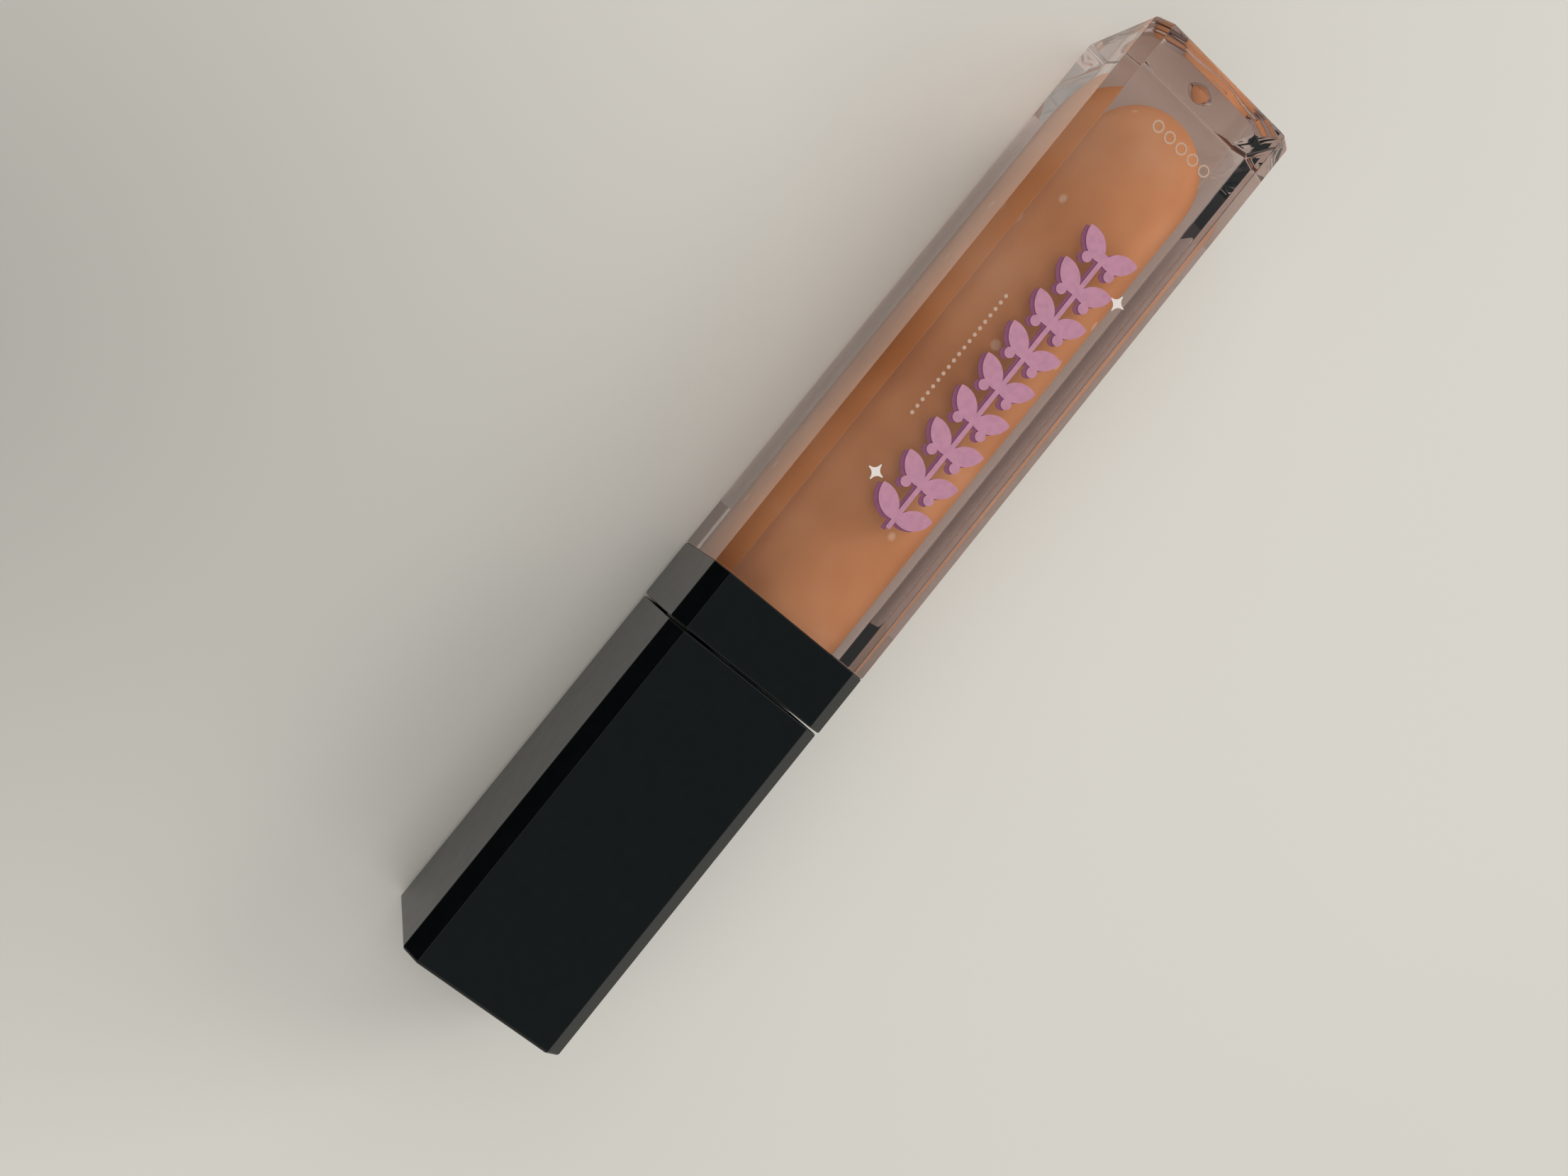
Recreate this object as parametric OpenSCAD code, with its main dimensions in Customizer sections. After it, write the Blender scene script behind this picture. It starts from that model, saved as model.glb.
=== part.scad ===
// Square lip gloss tube lying on its back: clear thick-walled bottle, collar, screw cap and wand.
// The tube runs along X with the cap at -X and the bottle's base at +X. Z = 0 is the surface it
// lies on and X = 0, Y = 0 is the middle of its length and width.

/* [Outside] */
// Width and height of the square bottle and collar
bottle_w = 19; // [18:0.5:22]
// How much narrower the cap is than the bottle
cap_step = 0.2; // [0:0.1:0.6]
// Width of the flat 45 degree cut along the four long edges, measured along a side
edge_cut = 1.6; // [1.2:0.1:2]
// Radius of the edges round the closed end of the cap
cap_end_r = 0.4; // [0.2:0.1:0.8]
// Radius of the edges round the base of the bottle
base_end_r = 0.5; // [0.2:0.1:0.8]
// Length of the cap
cap_l = 40; // [38:1:50]
// Length of the collar
collar_l = 6.8; // [5.6:0.2:9]
// Length of the clear body of the bottle
body_l = 68; // [64:1:80]
// Open seam between cap and collar
seam = 0.2; // [0.15:0.05:0.4]

/* [Bottle inside] */
// Radius of the round chamber that holds the gloss
chamber_r = 6.8; // [6:0.1:6.8]
// Thickness of clear plastic between the dome and the base
base_t = 4.6; // [3.6:0.2:6]
// Radius of the bore through the neck
neck_bore_r = 5.4; // [5:0.1:5.6]
// Width of the square recess in the base, at its mouth
recess_w = 16.8; // [15:0.1:17]
// Depth of the recess
recess_depth = 0.9; // [0.4:0.1:1.2]
// How far each wall of the recess leans in between its mouth and its floor
recess_lean = 1.8; // [1:0.1:2.4]
// Radius of the round gate dimple in the middle of the recess
gate_r = 1.7; // [1:0.1:2]
// Depth of the gate dimple below the floor of the recess
gate_depth = 1; // [0.4:0.1:1.2]

/* [Neck and thread] */
// Radius of the neck at the root of its thread
neck_r = 6.65; // [6.5:0.05:6.8]
// Radius of the thick neck root that carries the collar
neck_root_r = 7.8; // [7.4:0.1:7.9]
// Length of threaded neck that stands above the collar
neck_l = 9.8; // [9:0.2:12]
// Radial height of the thread on the neck
thread_h = 0.45; // [0.3:0.05:0.5]
// Rise of the thread in one turn
thread_pitch = 2.8; // [2.4:0.1:3.2]
// Turns of thread on the neck
thread_turns = 1.5; // [1:0.25:1.75]

/* [Cap inside] */
// Wall of the outer cap
cap_wall = 1.1; // [1:0.05:1.2]
// Thickness of the closed end of the cap
cap_end_t = 1.6; // [1.2:0.1:2.4]
// Bore of the cap's liner
liner_bore_r = 7.6; // [7.6:0.05:7.7]
// Thickness of the web that closes the liner
web_t = 1.6; // [1.2:0.1:2]
// Thickness of the seal ring
seal_t = 0.9; // [0.6:0.1:1.2]

/* [Wand and wiper] */
// Radius of the wand's stem
stem_r = 2; // [1.6:0.1:2]
// How far the wand reaches past the rim of the neck
wand_reach = 64; // [50:1:66]
// Length of the flocked applicator
tip_l = 13; // [10:1:16]
// Radius of the hole in the wiper
orifice_r = 2.2; // [2.2:0.1:2.5]
// Length of the wiper inside the neck
wiper_l = 9.6; // [8:0.2:10]

/* [Print and label] */
// Pairs of leaves along the raised garland
leaf_pairs = 9; // [4:1:9]
// Spacing of the leaf pairs
leaf_step = 4; // [3.4:0.1:4.4]
// Length of a leaf
leaf_l = 3.9; // [3:0.1:4.2]
// Width of a leaf
leaf_w = 2; // [1.2:0.1:2.4]
// Thickness of each printed layer
print_t = 0.08; // [0.05:0.01:0.15]
// Length of the label on the back
label_l = 53; // [40:1:54]
// Width of the label
label_w = 15.4; // [12:0.2:15.6]
// Thickness of the label and depth of its recess
label_t = 0.1; // [0.08:0.01:0.2]

/* [Hidden] */
$fn = 64;

cap_w = bottle_w - cap_step;
total_l = cap_l + seam + collar_l + body_l;
// Clearance between pieces that touch
fit = 0.02;
// Clearance between pieces that turn or slide past each other
run = 0.1;
// Distances along the tube from the closed end of the cap
collar_z = cap_l + seam;
body_z = collar_z + collar_l;
rim_z = collar_z - neck_l;
flange_t = 0.8;
// Ring of the collar that stands up round the neck's step, behind the seam
step_r = neck_r + thread_h + 0.05;
spigot_r = 7.95;
spigot_h = 1.2;
collar_web_t = 1;
wiper_z = rim_z - flange_t;
seal_z = wiper_z - run - seal_t;
web_z = seal_z - run - web_t;
chamber_z = body_z - 1;
neck_bore_end_z = chamber_z - 2.5;
dome_z = total_l - base_t - chamber_r;
tip_end_z = rim_z + wand_reach;
stem_end_z = tip_end_z - tip_l;
wiper_end_z = rim_z + wiper_l;
wand_hole_r = 2.6;
wand_hole_end_z = tip_end_z + 2;
stem_head_r = 3.2;
stem_head_l = 3;
socket_wall = 1.2;
socket_l = 14;
plug_r = 1.2;
plug_l = 4;
// Label and print places along X, measured from the middle of the tube
label_x = body_z + 5.6 + label_l / 2 - total_l / 2;
label_gap = 0.1;
garland_x = 19.3;
garland_y = -1.3;
shade_shift = 0.34;

// Stands a shape built up from the cap's closed end (local z = 0) down along the tube's axis
module lay() {
    translate([-total_l / 2, 0, bottle_w / 2])
        rotate([0, 90, 0])
            children();
}

// Square with its corners cut off at 45 degrees, centred
module cut_square(w, cut) {
    intersection() {
        square(w, center = true);
        rotate(45)
            square((w - cut) * sqrt(2), center = true);
    }
}

// Lengthwise outline from z0 to z1, with radius r0 and r1 at its ends
module side_outline(w, z0, z1, r0, r1) {
    translate([-w / 2, z0 + r0])
        square([w, z1 - z0 - r0 - r1]);
    translate([-w / 2 + r0, z0])
        square([w - 2 * r0, z1 - z0 - r1]);
    translate([-w / 2 + r1, z0 + r0])
        square([w - 2 * r1, z1 - z0 - r0]);
    for (s = [-1, 1]) {
        translate([s * (w / 2 - r0), z0 + r0])
            circle(r0);
        translate([s * (w / 2 - r1), z1 - r1])
            circle(r1);
    }
}

// Square bar with cut long edges and softly rounded ends, from z0 to z1
module soft_bar(w, z0, z1, r0, r1) {
    intersection() {
        translate([0, 0, z0])
            linear_extrude(z1 - z0)
                cut_square(w, edge_cut);
        translate([0, w / 2, 0])
            rotate([90, 0, 0])
                linear_extrude(w)
                    side_outline(w, z0, z1, r0, r1);
        translate([-w / 2, 0, 0])
            rotate([90, 0, 90])
                linear_extrude(w)
                    side_outline(w, z0, z1, r0, r1);
    }
}

// Helical thread ridge round the neck from z0 upwards. Its height fades in and out, and its foot bites
// into the wall.
module thread_ridge(z0) {
    steps = round(thread_turns * 32);
    fade_steps = 6;
    bite = 0.15;
    rise = thread_pitch * thread_turns;
    foot_half = 0.6;
    crest_half = 0.22;
    section = [[0, -foot_half], [1, -crest_half], [1, crest_half], [0, foot_half]];
    points = [
        for (i = [0 : steps])
            let (
                fade = min(1, min(i, steps - i) / fade_steps),
                crest_r = neck_r + thread_h * fade - bite * (1 - fade) / 2,
                turn = 360 * thread_turns * i / steps
            )
            for (p = section)
                let (r = p[0] == 1 ? crest_r : neck_r - bite)
                [r * cos(turn), r * sin(turn), z0 + rise * i / steps + p[1]]
    ];
    last = 4 * steps;
    sides = [
        for (i = [0 : steps - 1])
            for (k = [0 : 3])
                let (a = 4 * i + k, b = 4 * i + (k + 1) % 4)
                [a, a + 4, b + 4, b]
    ];
    polyhedron(points, concat(sides, [[0, 1, 2, 3], [last + 3, last + 2, last + 1, last]]), convexity = 4);
}

// Inside of the bottle: neck bore, short cone, round chamber and domed end, made smaller by gap
module chamber(gap) {
    translate([0, 0, neck_bore_end_z])
        cylinder(chamber_z - neck_bore_end_z, neck_bore_r - gap, chamber_r - gap);
    translate([0, 0, chamber_z])
        cylinder(dome_z - chamber_z, r = chamber_r - gap);
    translate([0, 0, dome_z])
        sphere(chamber_r - gap);
}

// Square hollow in the base with leaning walls and cut corners, a little taller than it is deep
module base_recess() {
    over = 0.2;
    corner_cut = 2.2;
    floor_w = recess_w - 2 * recess_lean;
    top_w = recess_w + 2 * recess_lean * over / recess_depth;
    translate([0, 0, total_l - recess_depth])
        intersection() {
            rotate(45)
                cylinder(recess_depth + over, floor_w / sqrt(2), top_w / sqrt(2), $fn = 4);
            cylinder(recess_depth + over, floor_w - corner_cut, top_w - corner_cut, $fn = 4);
        }
}

module bottle() {
    gate_ball_r = (gate_r * gate_r + gate_depth * gate_depth) / (2 * gate_depth);
    color([0.86, 0.82, 0.8, 0.4])
        difference() {
            lay() {
                soft_bar(bottle_w, body_z, total_l, 0.15, base_end_r);
                translate([0, 0, collar_z + collar_web_t])
                    cylinder(collar_l, r = neck_root_r);
                translate([0, 0, collar_z - spigot_h])
                    cylinder(spigot_h + 2, r = step_r);
                translate([0, 0, rim_z])
                    cylinder(neck_l + 1, r = neck_r);
                thread_ridge(rim_z + 2.2);
            }
            lay() {
                translate([0, 0, rim_z - 1])
                    cylinder(neck_bore_end_z - rim_z + 1, r = neck_bore_r);
                chamber(0);
                base_recess();
                translate([0, 0, total_l - recess_depth - gate_depth + gate_ball_r])
                    sphere(gate_ball_r);
            }
            translate([label_x, 0, 0])
                cube([label_l, label_w, 2 * label_t], center = true);
        }
}

module gloss_fill() {
    color([0.78, 0.5, 0.33])
        lay()
            difference() {
                union() {
                    chamber(fit);
                    translate([0, 0, wiper_end_z + fit])
                        cylinder(neck_bore_end_z - wiper_end_z - fit, r = neck_bore_r - fit);
                }
                translate([0, 0, wiper_end_z - 1])
                    cylinder(wand_hole_end_z - wiper_end_z + 1, r = wand_hole_r);
            }
}

module wiper() {
    cup_r = neck_bore_r - 0.8;
    outer_r = neck_bore_r - fit;
    color([0.93, 0.92, 0.88])
        lay()
            rotate_extrude()
                polygon([
                    [cup_r, wiper_z],
                    [neck_r - 0.25, wiper_z],
                    [neck_r - 0.25, rim_z - fit],
                    [outer_r, rim_z - fit],
                    [outer_r, wiper_end_z - 3],
                    [orifice_r + 0.6, wiper_end_z],
                    [orifice_r, wiper_end_z],
                    [orifice_r, wiper_end_z - 1],
                    [cup_r, wiper_end_z - 4.4]
                ]);
}

module collar() {
    color([0.06, 0.07, 0.07])
        lay()
            difference() {
                union() {
                    soft_bar(bottle_w, collar_z, body_z - fit, 0.2, 0.15);
                    translate([0, 0, collar_z - spigot_h + fit])
                        cylinder(spigot_h + 1, r = spigot_r);
                }
                translate([0, 0, collar_z - spigot_h - 1])
                    cylinder(collar_l, r = step_r + fit);
                translate([0, 0, collar_z + collar_web_t - fit])
                    cylinder(collar_l, r = neck_root_r + fit);
            }
}

module back_label() {
    color([0.93, 0.92, 0.9])
        translate([label_x, 0, label_t / 2])
            cube([label_l - label_gap, label_w - label_gap, label_t], center = true);
}

// One leaf with pointed ends, its foot at the origin and its tip along +X
module leaf() {
    arc_r = (leaf_l * leaf_l + leaf_w * leaf_w) / (4 * leaf_w);
    translate([leaf_l / 2, 0])
        intersection_for (side = [-1, 1])
            translate([0, side * (arc_r - leaf_w / 2)])
                circle(arc_r);
}

// Garland along X: a thin stem with slanted leaves on both sides and berries between them
module garland() {
    lean = 55;
    stem_w = 0.5;
    berry_r = 0.55;
    row_l = (leaf_pairs - 1) * leaf_step;
    square([row_l + leaf_step / 2, stem_w], center = true);
    for (i = [0 : leaf_pairs - 1])
        translate([i * leaf_step - row_l / 2, 0])
            for (side = [-1, 1]) {
                rotate(side * lean)
                    leaf();
                if (i > 0)
                    translate([-0.1 * leaf_step, side * 1.5])
                        circle(berry_r);
            }
}

module print_shade() {
    color([0.42, 0.2, 0.33])
        translate([garland_x, garland_y, bottle_w])
            linear_extrude(print_t)
                for (k = [0, 1])
                    translate([-k * shade_shift, k * shade_shift])
                        garland();
}

module print_garland() {
    color([0.86, 0.6, 0.74])
        translate([garland_x, garland_y, bottle_w + print_t])
            linear_extrude(print_t)
                garland();
}

// Small diamond with pulled-in sides
module spark(r) {
    difference() {
        rotate(45)
            square(r * sqrt(2), center = true);
        for (a = [45 : 90 : 315])
            rotate(a)
                translate([r * 1.32, 0])
                    circle(r * 0.85);
    }
}

// White marks: two diamonds by the garland, a row of dots beside it and fine rings across the dome
module print_marks() {
    dot_r = 0.2;
    dot_step = 0.8;
    ring_r = 0.62;
    ring_line = 0.16;
    ring_step = 1.6;
    color([0.95, 0.94, 0.92])
        translate([0, 0, bottle_w])
            linear_extrude(print_t) {
                translate([5.7, 3.1])
                    spark(0.9);
                translate([33.6, -5.2])
                    spark(0.9);
                for (i = [0 : 18])
                    translate([12.3 + i * dot_step, 4])
                        circle(dot_r);
                for (i = [0 : 4])
                    translate([49, -0.4 + (i - 2) * ring_step])
                        difference() {
                            circle(ring_r);
                            circle(ring_r - ring_line);
                        }
            }
}

module cap_shell() {
    cavity_w = cap_w - 2 * cap_wall;
    color([0.05, 0.06, 0.06])
        lay()
            difference() {
                soft_bar(cap_w, 0, cap_l, cap_end_r, 0.2);
                translate([0, 0, cap_end_t])
                    linear_extrude(cap_l)
                        cut_square(cavity_w, edge_cut - 0.6);
            }
}

module cap_liner() {
    cavity_w = cap_w - 2 * cap_wall - 2 * fit;
    liner_end_z = cap_l - 1.8;
    color([0.12, 0.12, 0.12])
        lay() {
            difference() {
                union() {
                    translate([0, 0, web_z])
                        cylinder(liner_end_z - web_z, r = cavity_w / 2);
                    for (z = [web_z, liner_end_z - 2])
                        translate([0, 0, z])
                            linear_extrude(2)
                                cut_square(cavity_w, edge_cut - 0.6);
                    translate([0, 0, web_z - socket_l])
                        cylinder(socket_l + 0.5, r = stem_head_r + socket_wall);
                    for (a = [0, 90])
                        rotate(a)
                            translate([-cavity_w / 2, -0.6, web_z - socket_l])
                                cube([cavity_w, 1.2, socket_l + 0.5]);
                }
                translate([0, 0, web_z + web_t])
                    cylinder(cap_l, r = liner_bore_r);
                translate([0, 0, web_z - socket_l - 1])
                    cylinder(socket_l + 1, r = stem_head_r + fit);
                translate([0, 0, web_z - 1])
                    cylinder(web_t + 2, r = stem_r + fit);
            }
        }
}

module seal_ring() {
    color([0.85, 0.85, 0.82])
        lay()
            translate([0, 0, seal_z])
                difference() {
                    cylinder(seal_t, r = neck_r - 0.25);
                    translate([0, 0, -1])
                        cylinder(seal_t + 2, r = 3.2);
                }
}

module wand_stem() {
    color([0.16, 0.16, 0.16])
        lay()
            difference() {
                union() {
                    translate([0, 0, web_z - stem_head_l - fit])
                        cylinder(stem_head_l, r = stem_head_r);
                    translate([0, 0, web_z - 1])
                        cylinder(stem_end_z - web_z + 1, r = stem_r);
                }
                translate([0, 0, stem_end_z - plug_l])
                    cylinder(plug_l + 1, r = plug_r + fit);
            }
}

module applicator_tip() {
    slant = 14;
    tip_r = stem_r - 0.02;
    color([0.84, 0.62, 0.48])
        lay()
            union() {
                translate([0, 0, stem_end_z - plug_l + 0.2])
                    cylinder(plug_l, r = plug_r);
                difference() {
                    union() {
                        translate([0, 0, stem_end_z + fit])
                            cylinder(tip_l - tip_r - fit, r = tip_r);
                        translate([0, 0, tip_end_z - tip_r])
                            sphere(tip_r);
                    }
                    translate([-tip_r + 0.5, 0, tip_end_z])
                        rotate([0, slant, 0])
                            translate([-5, -5, -tip_l])
                                cube([5, 10, 2 * tip_l]);
                }
            }
}

bottle();
gloss_fill();
wiper();
collar();
back_label();
print_shade();
print_garland();
print_marks();
cap_shell();
cap_liner();
seal_ring();
wand_stem();
applicator_tip();
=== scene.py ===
"""Looks of the square lip gloss tube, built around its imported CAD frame. Metres, the frame's own axes."""
import math

import bmesh
import bpy
from mathutils import Euler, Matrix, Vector


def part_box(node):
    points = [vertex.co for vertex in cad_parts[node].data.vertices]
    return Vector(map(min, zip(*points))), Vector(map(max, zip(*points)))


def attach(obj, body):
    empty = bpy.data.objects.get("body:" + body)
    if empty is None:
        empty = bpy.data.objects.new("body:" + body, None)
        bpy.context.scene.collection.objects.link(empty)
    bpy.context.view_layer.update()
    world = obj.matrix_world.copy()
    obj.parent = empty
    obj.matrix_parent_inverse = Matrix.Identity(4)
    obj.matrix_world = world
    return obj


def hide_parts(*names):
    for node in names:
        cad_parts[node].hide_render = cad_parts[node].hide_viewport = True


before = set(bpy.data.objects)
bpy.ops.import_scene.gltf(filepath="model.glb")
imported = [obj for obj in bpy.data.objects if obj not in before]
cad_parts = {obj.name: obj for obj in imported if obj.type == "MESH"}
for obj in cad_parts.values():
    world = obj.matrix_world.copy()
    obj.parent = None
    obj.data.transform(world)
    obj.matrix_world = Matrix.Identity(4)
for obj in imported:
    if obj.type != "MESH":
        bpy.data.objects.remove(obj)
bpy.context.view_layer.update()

# ---------------------------------------------------------------- sizes

MM = 0.001
BOTTLE_LO, BOTTLE_HI = (Vector(corner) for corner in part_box("bottle"))
COLLAR_LO, COLLAR_HI = (Vector(corner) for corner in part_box("collar"))
CAP_LO, CAP_HI = (Vector(corner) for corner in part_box("cap_shell"))
GLOSS_LO, GLOSS_HI = (Vector(corner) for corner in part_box("gloss_fill"))
LABEL_LO, LABEL_HI = (Vector(corner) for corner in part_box("back_label"))
TIP_HI = Vector(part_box("applicator_tip")[1])

AXIS_Z = (COLLAR_LO.z + COLLAR_HI.z) / 2
SEAM = 0.2 * MM
SPIGOT_X = COLLAR_LO.x
BODY_X0 = COLLAR_HI.x
BASE_X = BOTTLE_HI.x
RIM_X = BOTTLE_LO.x
CAP_X0 = CAP_LO.x
CAP_X1 = CAP_HI.x
COLLAR_X = CAP_X1 + SEAM
BODY_HALF = (COLLAR_HI.y - COLLAR_LO.y) / 2
CAP_HALF = (CAP_HI.y - CAP_LO.y) / 2
CHAMBER_R = (GLOSS_HI.y - GLOSS_LO.y) / 2
APEX_X = GLOSS_HI.x
DOME_X = APEX_X - CHAMBER_R

# Long edges, end edges and inner sizes that no node's box gives
EDGE_CUT = 1.6 * MM
CUT_SOFT_R = 0.2 * MM
CUT_PER_INSET = 0.586  # keeps the 45 degree cuts parallel while a ring shrinks
BASE_EDGE_R = 0.5 * MM
CAP_END_R = 0.4 * MM
RIM_SOFT_R = 0.2 * MM
SHOULDER_R = 0.15 * MM
CAP_WALL = 1.1 * MM
CAP_END_T = 1.6 * MM
CAP_HOLLOW_CUT = 1 * MM

RECESS_HALF = 8.5 * MM
RECESS_FLOOR_HALF = 6.3 * MM
RECESS_CUT = 2.2 * MM
RECESS_SOFT_R = 0.8 * MM
RECESS_DEPTH = 0.9 * MM
WAVE_TILT = 15
GATE_R = 1.7 * MM
GATE_DEPTH = 1 * MM
GATE_TILT = (14, 36)

NECK_R = 6.65 * MM
NECK_STEP_R = 7.15 * MM
NECK_STEP_H = 1.2 * MM
NECK_ROOT_R = 7.8 * MM
NECK_BORE_R = 5.4 * MM
SPIGOT_R = 7.95 * MM
COLLAR_WEB_T = 1 * MM
CHAMBER_X = BODY_X0 - 1 * MM
BORE_END_X = CHAMBER_X - 2.5 * MM
BORE_FLARE = 30
FIT = 0.02 * MM

THREAD_H = 0.45 * MM
THREAD_PITCH = 2.8 * MM
THREAD_TURNS = 1.5
THREAD_START = 2.2 * MM
THREAD_FOOT = 0.6 * MM
THREAD_FLANK = 0.38 * MM
THREAD_FADE = 0.15 * THREAD_PITCH
THREAD_MARGIN_TOP = 0.3 * MM
THREAD_MARGIN_RIM = 0.4 * MM

WAND_HOLE_R = 2.6 * MM
WAND_HOLE_END = TIP_HI.x + 2 * MM
GLOSS_BITE = 0.015 * MM

LABEL_CORNER_R = 1.2 * MM
LABEL_SINK = 0.06 * MM
LABEL_BELOW = 0.004 * MM

# Fineness of the meshes
ARC_STEPS = 4
SIDE_STEPS = 10
CUT_STEPS = 3
EDGE_STEPS = 4
CAP_RIM_STEPS = 5
END_STEPS = 8
GATE_STEPS = 12
RECESS_STEPS = 32
THREAD_STEPS = 60
CHAMBER_DOME_STEPS = 32
GLOSS_DOME_STEPS = 40
LABEL_STEPS = 8


# ---------------------------------------------------------------- rings and lofts


def on_circle(angle):
    return Vector((math.cos(angle), math.sin(angle)))


def cut_ring(half, cut, soft_r=CUT_SOFT_R):
    """Points and outward normals, in (y, z) about the axis, of a square ring whose corners are cut at
    45 degrees. soft_r rounds the eight corners that leaves."""
    eighth = math.pi / 4
    reach = (half, (2 * half - cut) / math.sqrt(2))
    corners = []
    for k in range(8):
        turn = eighth * k
        a, b = reach[k % 2] - soft_r, reach[(k + 1) % 2] - soft_r
        slide = (b - a * math.cos(eighth)) / math.sin(eighth)
        centre = on_circle(turn) * a + Vector((-math.sin(turn), math.cos(turn))) * slide
        normals = [on_circle(turn + eighth * i / ARC_STEPS) for i in range(ARC_STEPS + 1)]
        corners.append([(centre + normal * soft_r, normal) for normal in normals])
    points = []
    for k in range(8):
        points += corners[k]
        (here, normal), (there, _) = corners[k][-1], corners[(k + 1) % 8][0]
        steps = CUT_STEPS if k % 2 == 0 else SIDE_STEPS
        points += [(here.lerp(there, i / steps), normal) for i in range(1, steps)]
    return points


# Angles of every ring's points, so that square and round rings join column to column
GUIDE = [math.atan2(point.y, point.x) for point, normal in cut_ring(BODY_HALF, EDGE_CUT)]


def round_ring(r):
    """Points and normals of a circle whose columns lie at the angles of the bottle's cut ring."""
    return [(on_circle(a) * r, on_circle(a)) for a in GUIDE]


class Station:
    """One ring of a loft: its place along X, its points, and the normal's tilt before and after it."""

    def __init__(self, x, ring, tilt_in, tilt_out=None):
        self.x = x
        self.ring = ring
        self.tilt_in = tilt_in
        self.tilt_out = tilt_in if tilt_out is None else tilt_out


def tilted(normal, tilt):
    """Normal in space: tilt turns a ring's flat normal towards +X, in degrees. A full normal stays."""
    if len(normal) == 3:
        return normal
    t = math.radians(tilt)
    return Vector((math.sin(t), normal.x * math.cos(t), normal.y * math.cos(t)))


def turned_over(faces, normals):
    """The same faces with their corners, and the corners' normals, in the opposite order."""
    flipped = []
    start = 0
    for face in faces:
        flipped += reversed(normals[start : start + len(face)])
        start += len(face)
    return [face[::-1] for face in faces], flipped


def linked(name, data):
    """New object in the scene for a mesh, light or camera."""
    obj = bpy.data.objects.new(name, data)
    bpy.context.scene.collection.objects.link(obj)
    return obj


def loft(name, stations, start_pole=None, end_pole=None, closed=False):
    """A skin through the stations, with exact normals. A pole is (x, tilt) and closes an end with a fan.
    closed joins the last ring to the first."""
    verts, faces, normals = [], [], []
    count = len(GUIDE)
    last = len(stations) - 1
    for s in stations:
        verts += [(s.x, point.x, point.y + AXIS_Z) for point, normal in s.ring]

    def normal_at(station, j, tilt):
        return tilted(station.ring[j][1], tilt)

    pairs = [(i, i + 1) for i in range(last)]
    if closed:
        pairs.append((last, 0))
    for a, b in pairs:
        near, far = stations[a], stations[b]
        for j in range(count):
            k = (j + 1) % count
            faces.append((a * count + j, b * count + j, b * count + k, a * count + k))
            normals += [
                normal_at(near, j, near.tilt_out),
                normal_at(far, j, far.tilt_in),
                normal_at(far, k, far.tilt_in),
                normal_at(near, k, near.tilt_out),
            ]
    for pole, index in ((start_pole, 0), (end_pole, last)):
        if pole is None:
            continue
        x, tilt = pole
        verts.append((x, 0, AXIS_Z))
        tip = len(verts) - 1
        s = stations[index]
        edge_tilt = s.tilt_in if index == 0 else s.tilt_out
        straight = Vector((math.copysign(1, tilt), 0, 0))
        for j in range(count):
            k = (j + 1) % count
            first, second = (j, k) if index == 0 else (k, j)
            faces.append((tip, index * count + first, index * count + second))
            normals += [straight, normal_at(s, first, edge_tilt), normal_at(s, second, edge_tilt)]
    one = [Vector(verts[i]) for i in faces[0]]
    if (one[1] - one[0]).cross(one[2] - one[1]).dot(normals[1]) < 0:
        faces, normals = turned_over(faces, normals)
    mesh = bpy.data.meshes.new(name)
    mesh.from_pydata(verts, [], faces)
    for poly in mesh.polygons:
        poly.use_smooth = True
    mesh.normals_split_custom_set(normals)
    return linked(name, mesh)


def quarter(steps):
    """Angles from 0 to 90 degrees."""
    return [90 * i / steps for i in range(steps + 1)]


def soft_edge(x_face, r, angles, side, ring):
    """Stations round a soft edge between the long sides, at angle 0, and an end face, at 90. side is 1
    for a face that looks to +X and -1 for one that looks to -X. ring gives the ring for an inset."""
    out = []
    for a in angles:
        inset = r * (1 - math.cos(math.radians(a)))
        x = x_face - side * r * (1 - math.sin(math.radians(a)))
        out.append(Station(x, ring(inset), side * a))
    return out


def square_inset(half):
    """Rings of a cut square, by inset, that keep their cuts' size."""
    return lambda inset: cut_ring(half - inset, EDGE_CUT)


def closed_end(x_end, half, r_end, side):
    """Stations from a closed, flat end out to the long sides."""

    def ring(inset):
        return cut_ring(half - inset, EDGE_CUT - CUT_PER_INSET * inset)

    return soft_edge(x_end, r_end, quarter(END_STEPS)[::-1], side, ring)


def dome(r, steps, tilt_at):
    """Stations from the chamber's straight part towards its apex, short of the apex itself."""
    out = []
    for i in range(steps):
        degrees = 90 * i / steps
        a = math.radians(degrees)
        out.append(Station(DOME_X + r * math.sin(a), round_ring(r * math.cos(a)), tilt_at(degrees)))
    return out


# ---------------------------------------------------------------- meshes


def base_recess():
    """Stations of the square recess in the base, from its floor out to its mouth, softly curved and with
    the faint waves of a moulded wall in its normals."""
    width = RECESS_HALF - RECESS_FLOOR_HALF
    out = []
    for i in range(RECESS_STEPS + 1):
        u = i / RECESS_STEPS
        slope = RECESS_DEPTH * 6 * u * (1 - u) / width
        x = BASE_X - RECESS_DEPTH * (1 - u * u * (3 - 2 * u))
        ring = []
        for point, normal in cut_ring(RECESS_FLOOR_HALF + width * u, RECESS_CUT, RECESS_SOFT_R):
            turn = math.atan2(point.y, point.x)
            ripple = math.sin(16 * u + 2.2 * math.sin(3 * turn) + math.sin(7 * turn))
            wave = WAVE_TILT * u * (1 - u) * 4 * ripple
            ring.append((point, tilted(normal, 90 + math.degrees(math.atan(slope)) + wave)))
        out.append(Station(x, ring, 90))
    return out


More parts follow.
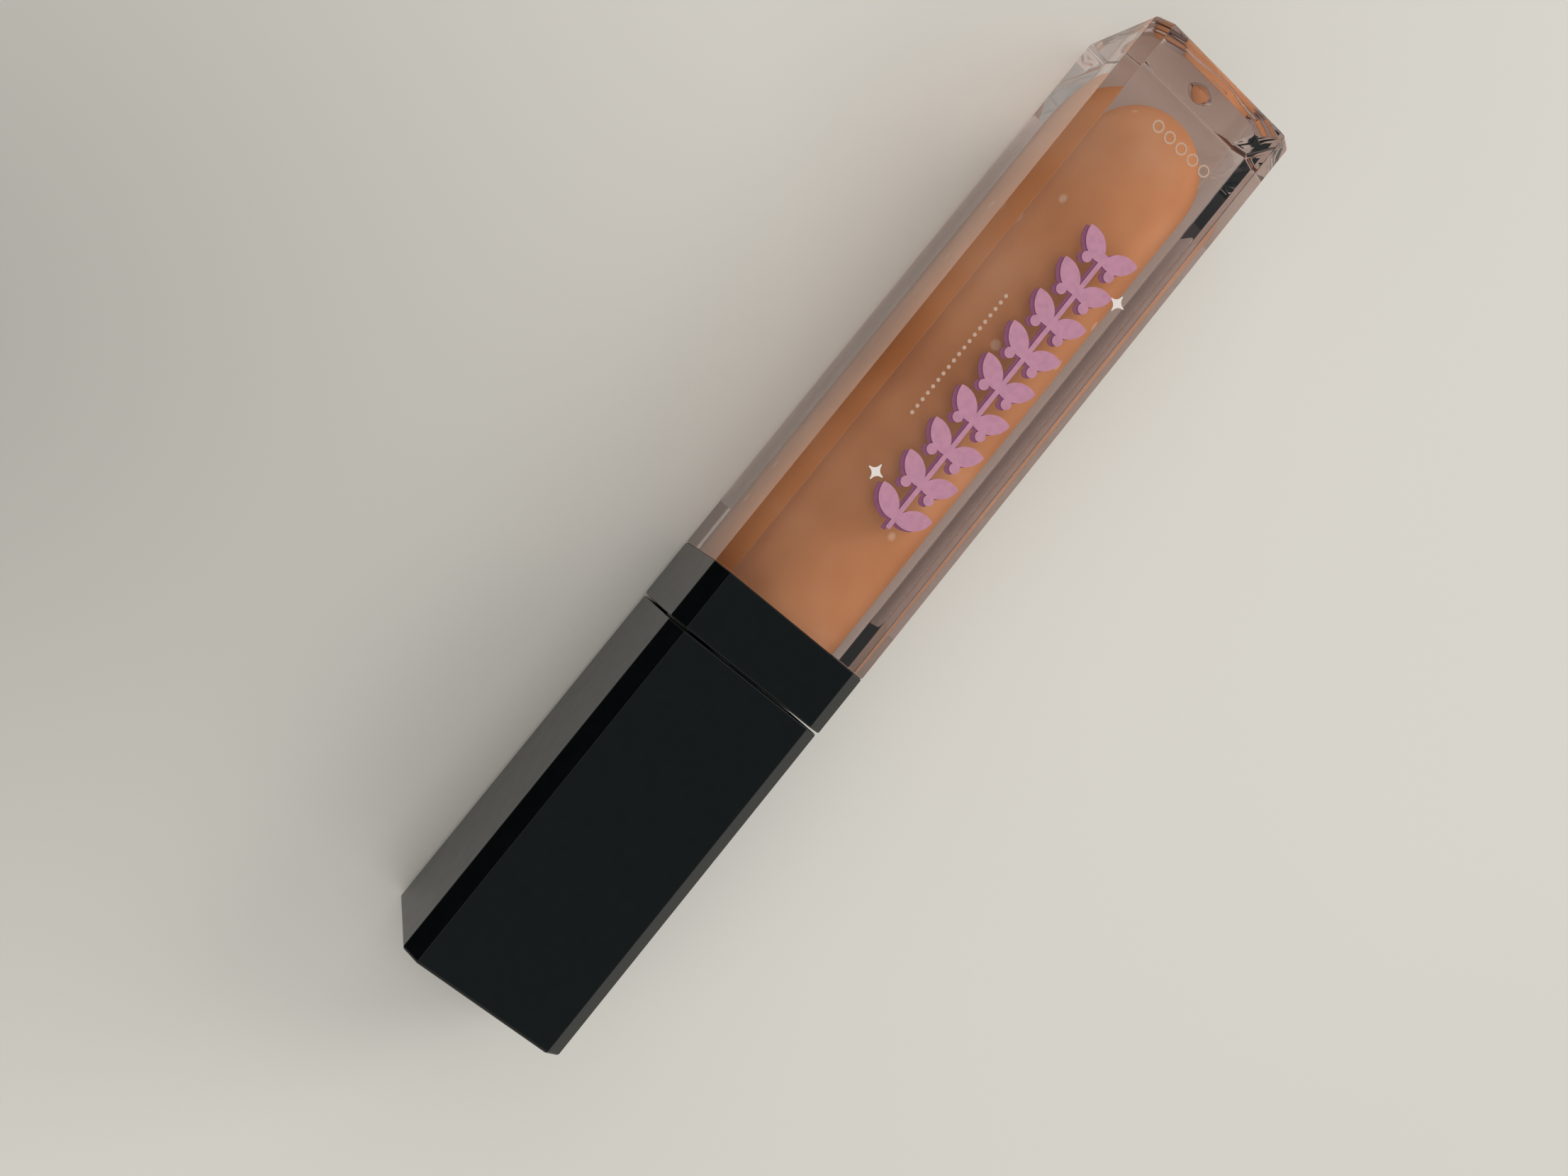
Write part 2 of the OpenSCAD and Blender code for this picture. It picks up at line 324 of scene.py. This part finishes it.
def gate_dimple(x_flat):
    """Stations of the round gate dimple, from its middle outwards. Its skin reads as a blunt cone."""
    ball_r = (GATE_R * GATE_R + GATE_DEPTH * GATE_DEPTH) / (2 * GATE_DEPTH)
    low, high = GATE_TILT
    out = []
    for i in range(1, GATE_STEPS + 1):
        u = i / GATE_STEPS
        a = math.asin(GATE_R / ball_r) * u
        x = x_flat - GATE_DEPTH + ball_r * (1 - math.cos(a))
        out.append(Station(x, round_ring(ball_r * math.sin(a)), 90 + low + (high - low) * u))
    out[-1].tilt_out = 90
    return out


def thread_height(x, turn):
    """Height of the thread ridge at x along the neck and at an angle round it."""
    best = 0
    total = THREAD_TURNS * THREAD_PITCH
    for lap in range(-1, int(THREAD_TURNS) + 2):
        along = (turn / (2 * math.pi) + lap) * THREAD_PITCH
        if not 0 <= along <= total:
            continue
        fade = min(1, min(along, total - along) / THREAD_FADE)
        away = abs(x - RIM_X - THREAD_START - along)
        flank = (THREAD_FOOT - away) / THREAD_FLANK
        best = max(best, THREAD_H * fade * max(0, min(1, flank)))
    return best


def thread_ring(x):
    """Ring round the threaded neck, with normals that follow the ridge."""
    out = []
    step = 0.02 * MM
    for a in GUIDE:
        turn = a % (2 * math.pi)
        slope = (thread_height(x + step, turn) - thread_height(x - step, turn)) / (2 * step)
        normal = Vector((-slope, math.cos(a), math.sin(a))).normalized()
        out.append((on_circle(a) * (NECK_R + thread_height(x, turn)), normal))
    return out


def bottle_mesh():
    """Clear bottle: gate dimple, recess, base, body, shoulder, neck, bore, chamber and dome."""
    recess_floor = BASE_X - RECESS_DEPTH
    root_x = COLLAR_X + COLLAR_WEB_T
    step_x = COLLAR_X - NECK_STEP_H
    stations = gate_dimple(recess_floor) + base_recess()
    stations += closed_end(BASE_X, BODY_HALF, BASE_EDGE_R, 1)
    stations += soft_edge(BODY_X0, SHOULDER_R, quarter(EDGE_STEPS), -1, square_inset(BODY_HALF))
    stations += [
        Station(BODY_X0, round_ring(NECK_ROOT_R), -90, 0),
        Station(root_x, round_ring(NECK_ROOT_R), 0, -90),
        Station(root_x, round_ring(NECK_STEP_R), -90, 0),
        Station(step_x, round_ring(NECK_STEP_R), 0, -90),
        Station(step_x, round_ring(NECK_R), -90, 0),
    ]
    start = step_x - THREAD_MARGIN_TOP
    end = RIM_X + THREAD_MARGIN_RIM
    for i in range(THREAD_STEPS + 1):
        x = start + (end - start) * i / THREAD_STEPS
        stations.append(Station(x, thread_ring(x), 0))
    stations += soft_edge(RIM_X, RIM_SOFT_R, quarter(EDGE_STEPS), -1, lambda inset: round_ring(NECK_R - inset))
    stations += [
        Station(RIM_X, round_ring(NECK_BORE_R), -90, 180),
        Station(BORE_END_X, round_ring(NECK_BORE_R), 180, 180 + BORE_FLARE),
        Station(CHAMBER_X, round_ring(CHAMBER_R), 180 + BORE_FLARE, 180),
    ]
    stations += dome(CHAMBER_R, CHAMBER_DOME_STEPS, lambda degrees: 180 + degrees)
    return loft("bottle_clear", stations, (recess_floor - GATE_DEPTH, 90), (APEX_X, -90))


def gloss_mesh():
    """The gloss: a round fill with a domed end and the hole that the wand keeps open.
    It bites a hair into the clear wall, so that no air shows between them."""
    r = CHAMBER_R + GLOSS_BITE
    neck_r = NECK_BORE_R - GLOSS_BITE
    stations = [
        Station(WAND_HOLE_END, round_ring(WAND_HOLE_R), 270, 180),
        Station(GLOSS_LO.x, round_ring(WAND_HOLE_R), 180, -90),
        Station(GLOSS_LO.x, round_ring(neck_r), -90, 0),
        Station(BORE_END_X, round_ring(neck_r), 0, -BORE_FLARE),
        Station(CHAMBER_X, round_ring(r), -BORE_FLARE, 0),
    ]
    stations += dome(r, GLOSS_DOME_STEPS, lambda degrees: degrees)
    return loft("gloss", stations, (WAND_HOLE_END, -90), (DOME_X + r, 90))


def cap_mesh():
    """Cap: closed end, cut square sides, soft rim and the square hollow that holds the liner."""
    stations = closed_end(CAP_X0, CAP_HALF, CAP_END_R, -1)
    stations += soft_edge(CAP_X1, RIM_SOFT_R, quarter(CAP_RIM_STEPS), 1, square_inset(CAP_HALF))
    inner = cut_ring(CAP_HALF - CAP_WALL, CAP_HOLLOW_CUT)
    stations.append(Station(CAP_X1, inner, 90, 180))
    stations.append(Station(CAP_X0 + CAP_END_T, inner, 180, 90))
    return loft("cap_outer", stations, (CAP_X0, -90), (CAP_X0 + CAP_END_T, 90))


def collar_mesh():
    """Collar: square ring with soft rims, a stepped round hole and a spigot behind the seam."""
    web_x = COLLAR_X + COLLAR_WEB_T - FIT
    stations = soft_edge(COLLAR_X, RIM_SOFT_R, quarter(EDGE_STEPS)[::-1], -1, square_inset(BODY_HALF))
    stations += soft_edge(BODY_X0, SHOULDER_R, quarter(EDGE_STEPS), 1, square_inset(BODY_HALF))
    stations += [
        Station(BODY_X0, round_ring(NECK_ROOT_R + FIT), 90, 180),
        Station(web_x, round_ring(NECK_ROOT_R + FIT), 180, 90),
        Station(web_x, round_ring(NECK_STEP_R + FIT), 90, 180),
        Station(SPIGOT_X, round_ring(NECK_STEP_R + FIT), 180, -90),
        Station(SPIGOT_X, round_ring(SPIGOT_R), -90, 0),
        Station(COLLAR_X, round_ring(SPIGOT_R), 0, -90),
    ]
    return loft("collar_outer", stations, closed=True)


def label_mesh():
    """Film label: a thin slab with round corners, pressed a hair into the clear wall it sticks to."""
    outline = []
    x0, x1 = LABEL_LO.x, LABEL_HI.x
    y0, y1 = LABEL_LO.y, LABEL_HI.y
    for cx, cy, start in ((x1, y1, 0), (x0, y1, 90), (x0, y0, 180), (x1, y0, 270)):
        inwards = Vector((1 if cx == x0 else -1, 1 if cy == y0 else -1))
        centre = Vector((cx, cy)) + inwards * LABEL_CORNER_R
        for i in range(LABEL_STEPS + 1):
            spot = centre + on_circle(math.radians(start + 90 * i / LABEL_STEPS)) * LABEL_CORNER_R
            outline.append((spot.x, spot.y, LABEL_SINK))
    bm = bmesh.new()
    face = bm.faces.new([bm.verts.new(point) for point in outline])
    bottom = bmesh.ops.extrude_face_region(bm, geom=[face])
    moved = [v for v in bottom["geom"] if isinstance(v, bmesh.types.BMVert)]
    bmesh.ops.translate(bm, verts=moved, vec=(0, 0, -LABEL_SINK - LABEL_BELOW))
    bmesh.ops.recalc_face_normals(bm, faces=bm.faces)
    mesh = bpy.data.meshes.new("label_film")
    bm.to_mesh(mesh)
    bm.free()
    return linked("label_film", mesh)


# ---------------------------------------------------------------- material helpers


def material(name):
    """New node material: returns it, its tree and its Principled shader."""
    mat = bpy.data.materials.new(name)
    mat.use_nodes = True
    tree = mat.node_tree
    return mat, tree, tree.nodes["Principled BSDF"]


def object_place(tree):
    """Socket with the place in the object's own axes, which are the frame's."""
    return tree.nodes.new("ShaderNodeTexCoord").outputs["Object"]


def separate(tree, vector):
    """X, Y and Z sockets of a vector socket."""
    node = tree.nodes.new("ShaderNodeSeparateXYZ")
    tree.links.new(vector, node.inputs["Vector"])
    return node.outputs


def noise(tree, scale, detail=2.0, rough=0.5):
    """Noise over the object's place, scale in waves per metre."""
    node = tree.nodes.new("ShaderNodeTexNoise")
    node.inputs["Scale"].default_value = scale
    node.inputs["Detail"].default_value = detail
    node.inputs["Roughness"].default_value = rough
    tree.links.new(object_place(tree), node.inputs["Vector"])
    return node.outputs["Fac"]


def spread(tree, source, low, high, start=0, end=1):
    """Maps a value that runs from start to end to low to high."""
    node = tree.nodes.new("ShaderNodeMapRange")
    for name, value in (("From Min", start), ("From Max", end), ("To Min", low), ("To Max", high)):
        node.inputs[name].default_value = value
    tree.links.new(source, node.inputs["Value"])
    return node.outputs["Result"]


def ramp(tree, source, stops):
    """Colour ramp over a 0 to 1 value. A stop is (value, colour)."""
    node = tree.nodes.new("ShaderNodeValToRGB")
    elements = node.color_ramp.elements
    while len(elements) < len(stops):
        elements.new(0.5)
    for element, (value, colour) in zip(elements, stops):
        element.position = value
        element.color = (*colour, 1)
    tree.links.new(source, node.inputs["Fac"])
    return node.outputs["Color"]


def mixed(tree, amount, start, end):
    """Colour between start and end; each is a colour or a socket."""
    node = tree.nodes.new("ShaderNodeMix")
    node.data_type = "RGBA"
    tree.links.new(amount, node.inputs["Factor"])
    for name, value in (("A", start), ("B", end)):
        socket = [i for i in node.inputs if i.name == name and i.type == "RGBA"][0]
        if isinstance(value, tuple):
            socket.default_value = (*value, 1)
        else:
            tree.links.new(value, socket)
    return [o for o in node.outputs if o.type == "RGBA"][0]


def maths(tree, operation, a, b):
    """Result of a two-value operation; each value is a number or a socket."""
    node = tree.nodes.new("ShaderNodeMath")
    node.operation = operation
    for socket, value in zip(node.inputs, (a, b)):
        if isinstance(value, float):
            socket.default_value = value
        else:
            tree.links.new(value, socket)
    return node.outputs["Value"]


def bump(tree, shader, source, height, strength=1.0):
    """Bump from a 0 to 1 value, height in metres."""
    node = tree.nodes.new("ShaderNodeBump")
    node.inputs["Strength"].default_value = strength
    node.inputs["Distance"].default_value = height
    tree.links.new(source, node.inputs["Height"])
    tree.links.new(node.outputs["Normal"], shader.inputs["Normal"])


# ---------------------------------------------------------------- materials


def clear_plastic():
    """Clear plastic, darker and warmer where it is thick. Its shadow lets most of the light through."""
    mat, tree, shader = material("clear_plastic")
    shader.inputs["Base Color"].default_value = (0.88, 0.81, 0.80, 1)
    shader.inputs["Transmission Weight"].default_value = 1
    shader.inputs["IOR"].default_value = 1.54
    tree.links.new(spread(tree, noise(tree, 300, 1.0), 0.004, 0.016), shader.inputs["Roughness"])
    path = tree.nodes.new("ShaderNodeLightPath")
    through = tree.nodes.new("ShaderNodeBsdfTransparent")
    through.inputs["Color"].default_value = (0.90, 0.84, 0.80, 1)
    mix = tree.nodes.new("ShaderNodeMixShader")
    tree.links.new(path.outputs["Is Shadow Ray"], mix.inputs["Fac"])
    tree.links.new(shader.outputs["BSDF"], mix.inputs[1])
    tree.links.new(through.outputs["BSDF"], mix.inputs[2])
    depth = tree.nodes.new("ShaderNodeVolumeAbsorption")
    depth.inputs["Color"].default_value = (0.38, 0.12, 0.06, 1)
    depth.inputs["Density"].default_value = 14
    output = tree.nodes["Material Output"]
    tree.links.new(mix.outputs["Shader"], output.inputs["Surface"])
    tree.links.new(depth.outputs["Volume"], output.inputs["Volume"])
    return mat


def gloss_material():
    """Peach gloss with soft streaks, a few small bubbles and painted shade that darkens its underside."""
    mat, tree, shader = material("gloss_fill")
    streaks = [(0.3, (0.65, 0.285, 0.12)), (0.52, (0.77, 0.365, 0.17)), (0.72, (0.84, 0.45, 0.25))]
    colour = ramp(tree, noise(tree, 75, 2.5, 0.5), streaks)
    spot = object_place(tree)
    cells = tree.nodes.new("ShaderNodeTexVoronoi")
    cells.inputs["Scale"].default_value = 150
    tree.links.new(spot, cells.inputs["Vector"])
    bubble = ramp(tree, cells.outputs["Distance"], [(0.06, (1, 1, 1)), (0.1, (0, 0, 0))])
    colour = mixed(tree, bubble, colour, (0.86, 0.56, 0.40))
    # Painted shade: the gloss turns darker brown towards its underside, over the lowest few millimetres
    painted_underside_shade = spread(tree, separate(tree, spot)["Z"], 1, 0, AXIS_Z - 6 * MM, AXIS_Z - 1 * MM)
    colour = mixed(tree, painted_underside_shade, colour, (0.42, 0.22, 0.15))
    tree.links.new(colour, shader.inputs["Base Color"])
    shader.inputs["Roughness"].default_value = 0.6
    shader.inputs["Specular IOR Level"].default_value = 0.0
    return mat


def black_plastic(name, rough):
    """Satin black moulding with a very fine grain."""
    mat, tree, shader = material(name)
    shade = [(0.35, (0.0008, 0.0018, 0.0024)), (0.7, (0.0014, 0.0026, 0.0032))]
    tree.links.new(ramp(tree, noise(tree, 900, 3.0), shade), shader.inputs["Base Color"])
    tree.links.new(spread(tree, noise(tree, 420, 4.0), rough - 0.05, rough + 0.06), shader.inputs["Roughness"])
    shader.inputs["Specular IOR Level"].default_value = 0.28
    bump(tree, shader, noise(tree, 9000, 2.0), 0.004 * MM, 0.5)
    return mat


def plain_plastic(name, colour, rough):
    """Unpolished plastic or film with slightly uneven tone and sheen."""
    mat, tree, shader = material(name)
    dark = tuple(c * 0.9 for c in colour)
    tree.links.new(ramp(tree, noise(tree, 500, 3.0), [(0.3, dark), (0.7, colour)]), shader.inputs["Base Color"])
    tree.links.new(spread(tree, noise(tree, 700, 3.0), rough - 0.05, rough + 0.05), shader.inputs["Roughness"])
    bump(tree, shader, noise(tree, 5000, 2.0), 0.004 * MM, 0.4)
    return mat


def ink_surface(tree, shader, colour, rough):
    """Finish of thick printed ink in a colour socket."""
    tree.links.new(colour, shader.inputs["Base Color"])
    shader.inputs["Roughness"].default_value = rough
    bump(tree, shader, noise(tree, 3500, 2.0), 0.01 * MM, 0.3)


def ink(name, colour):
    mat, tree, shader = material(name)
    dark = tuple(c * 0.88 for c in colour)
    ink_surface(tree, shader, ramp(tree, noise(tree, 1500, 3.0), [(0.3, dark), (0.65, colour)]), 0.32)
    return mat


def white_ink():
    """White ink: solid on the two sparkles, thin on the dots beside the garland and on the dome's rings."""
    mat, tree, shader = material("white_ink")
    axes = separate(tree, object_place(tree))
    rings = maths(tree, "GREATER_THAN", axes["X"], 45 * MM)
    past_sparkle = maths(tree, "GREATER_THAN", axes["X"], 10 * MM)
    beside = maths(tree, "GREATER_THAN", axes["Y"], 3.5 * MM)
    thin = maths(tree, "MAXIMUM", rings, maths(tree, "MULTIPLY", past_sparkle, beside))
    ink_surface(tree, shader, mixed(tree, thin, (0.82, 0.75, 0.71), (0.54, 0.36, 0.27)), 0.4)
    return mat


def flock():
    """Short nylon pile, wet with gloss."""
    mat, tree, shader = material("flock")
    tone = ramp(tree, noise(tree, 2600, 4.0, 0.7), [(0.35, (0.42, 0.19, 0.10)), (0.65, (0.74, 0.44, 0.30))])
    tree.links.new(tone, shader.inputs["Base Color"])
    shader.inputs["Roughness"].default_value = 0.75
    shader.inputs["Sheen Weight"].default_value = 0.6
    bump(tree, shader, noise(tree, 4200, 3.0, 0.7), 0.12 * MM, 0.8)
    return mat


# ---------------------------------------------------------------- pieces


def paint(obj, mat):
    """Every slot of obj gets mat."""
    if not obj.data.materials:
        obj.data.materials.append(mat)
    for i in range(len(obj.data.materials)):
        obj.data.materials[i] = mat


def place(obj, body, node, mat):
    """obj stands for a CAD node on a body, in a material slot."""
    paint(obj, mat)
    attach(obj, body)
    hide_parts(node)


place(bottle_mesh(), "bottle", "bottle", clear_plastic())
place(gloss_mesh(), "bottle", "gloss_fill", gloss_material())
place(cap_mesh(), "cap", "cap_shell", black_plastic("cap_black", 0.22))
place(collar_mesh(), "bottle", "collar", black_plastic("collar_black", 0.21))
label_white = plain_plastic("label_white", (0.80, 0.77, 0.75), 0.35)
place(label_mesh(), "bottle", "back_label", label_white)

soft_white = plain_plastic("soft_white", (0.82, 0.81, 0.77), 0.45)
for node, mat in {
    "wiper": soft_white,
    "seal_ring": soft_white,
    "cap_liner": plain_plastic("liner_black", (0.03, 0.03, 0.032), 0.5),
    "wand_stem": plain_plastic("stem_black", (0.02, 0.02, 0.022), 0.25),
    "applicator_tip": flock(),
    "print_shade": ink("plum_ink", (0.24, 0.07, 0.15)),
    "print_garland": ink("pink_ink", (0.54, 0.25, 0.36)),
    "print_marks": white_ink(),
}.items():
    paint(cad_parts[node], mat)


# ---------------------------------------------------------------- stage, light and camera

# Painted shadow: the floor colour is a little darker round a place beyond the tube's left side
PAINTED_SHADOW_CENTRE = Vector((-43, 85, 0)) * MM
PAINTED_SHADOW_NEAR = 5 * MM
PAINTED_SHADOW_FAR = 90 * MM

FLOOR_SIZE = 3
FLOOR_Z = -0.01 * MM


def floor():
    """Pale, plain surface that the tube lies on, with a painted soft shadow beyond the tube's left side."""
    bpy.ops.mesh.primitive_plane_add(size=FLOOR_SIZE, location=(0, 0, FLOOR_Z))
    obj = bpy.context.object
    obj.name = "floor"
    mat, tree, shader = material("floor_pale")
    tone = ramp(tree, noise(tree, 6, 2.0), [(0.3, (0.70, 0.675, 0.63)), (0.7, (0.735, 0.71, 0.665))])
    away = tree.nodes.new("ShaderNodeVectorMath")
    away.operation = "DISTANCE"
    away.inputs[1].default_value = PAINTED_SHADOW_CENTRE
    tree.links.new(object_place(tree), away.inputs[0])
    # Painted shadow: the floor colour darkens towards the shadow's centre and fades out by its far distance
    painted_shadow = spread(tree, away.outputs["Value"], 1, 0, PAINTED_SHADOW_NEAR, PAINTED_SHADOW_FAR)
    tree.links.new(mixed(tree, painted_shadow, tone, (0.46, 0.44, 0.41)), shader.inputs["Base Color"])
    shader.inputs["Roughness"].default_value = 0.6
    obj.data.materials.append(mat)


def area_light(name, place_at, size, power, colour):
    """Square soft light aimed at the tube."""
    data = bpy.data.lights.new(name, "AREA")
    data.shape = "RECTANGLE"
    data.size = size
    data.size_y = size
    data.energy = power
    data.color = colour
    obj = linked(name, data)
    obj.location = place_at
    obj.rotation_mode = "QUATERNION"
    obj.rotation_quaternion = (-Vector(place_at)).to_track_quat("-Z", "Y")
    return obj


def toward(tree, source, direction, low, high):
    """0 to 1 as a direction in the sky comes near the given one; low and high are cosines."""
    dot = tree.nodes.new("ShaderNodeVectorMath")
    dot.operation = "DOT_PRODUCT"
    dot.inputs[1].default_value = Vector(direction).normalized()
    tree.links.new(source, dot.inputs[0])
    ease = tree.nodes.new("ShaderNodeMapRange")
    ease.interpolation_type = "SMOOTHSTEP"
    ease.inputs["From Min"].default_value = low
    ease.inputs["From Max"].default_value = high
    tree.links.new(dot.outputs["Value"], ease.inputs["Value"])
    return ease.outputs["Result"]


def sky():
    """Soft studio surround: pale all round, brighter to the right, dim overhead, dark low on the left."""
    world = bpy.data.worlds.new("world")
    world.use_nodes = True
    tree = world.node_tree
    way = tree.nodes.new("ShaderNodeTexCoord").outputs["Generated"]
    right = toward(tree, way, (0.6, -0.8, 0.35), -0.6, 0.9)
    colour = mixed(tree, right, (0.74, 0.715, 0.675), (1.0, 0.985, 0.95))
    overhead = toward(tree, way, (0.08, -0.26, 0.96), 0.80, 0.93)
    colour = mixed(tree, overhead, colour, (0.33, 0.39, 0.40))
    left = toward(tree, way, (-0.1, 0.96, 0.2), 0.74, 0.90)
    colour = mixed(tree, left, colour, (0.02, 0.02, 0.02))
    background = tree.nodes["Background"]
    tree.links.new(colour, background.inputs["Color"])
    background.inputs["Strength"].default_value = 0.96
    bpy.context.scene.world = world


floor()
LIGHT_COLOUR = (1.0, 0.985, 0.96)
area_light("key", (0.75, -0.62, 0.62), 0.5, 2.6, LIGHT_COLOUR)
# Lights matt surfaces only: what the gloss black and the clear plastic mirror above them stays dim
overhead_light = area_light("overhead", (0, 0, 1), 0.6, 1.8, LIGHT_COLOUR)
overhead_light.visible_glossy = False
overhead_light.visible_transmission = False
sky()

CAMERA_AT = Vector((-15.17, 45.91, 178.23)) * MM
CAMERA_TURN = (-7.868, -13.145, -49.861)
camera_data = bpy.data.cameras.new("camera")
camera_data.lens = 39.77
camera_data.sensor_width = 36
camera_data.clip_start = 10 * MM
camera = linked("camera", camera_data)
camera.location = CAMERA_AT
camera.rotation_euler = Euler([math.radians(a) for a in CAMERA_TURN], "XYZ")
bpy.context.scene.camera = camera
bpy.context.scene.view_settings.view_transform = "Standard"
